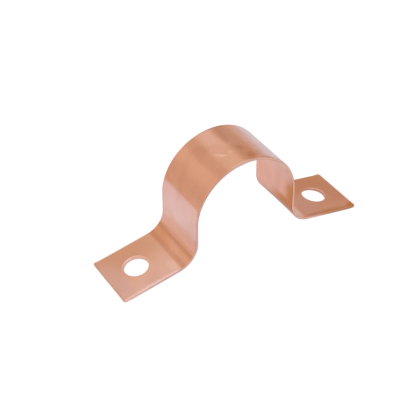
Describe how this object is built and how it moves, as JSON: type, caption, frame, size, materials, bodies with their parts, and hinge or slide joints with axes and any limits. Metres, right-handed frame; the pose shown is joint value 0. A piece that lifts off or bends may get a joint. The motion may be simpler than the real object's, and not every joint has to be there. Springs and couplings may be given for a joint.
{
  "type": "pipe clip",
  "caption": "Copper saddle clip folded from sheet strip: a half-round saddle over the pipe and a drooping foot with a screw hole on each side, which holds a pipe against a wall.",
  "frame": {"origin": "on the wall plane, midway between the two feet and under the middle of the saddle", "axes": "+X along the strip from one foot to the other, +Y along the pipe, +Z away from the wall"},
  "size_m": [0.0556, 0.013, 0.0232],
  "materials": {
    "copper_sheet": "bright rolled copper sheet, satin, lightly smudged"
  },
  "bodies": {
    "root": {"saddle_strap": "copper_sheet"}
  },
  "joints": []
}
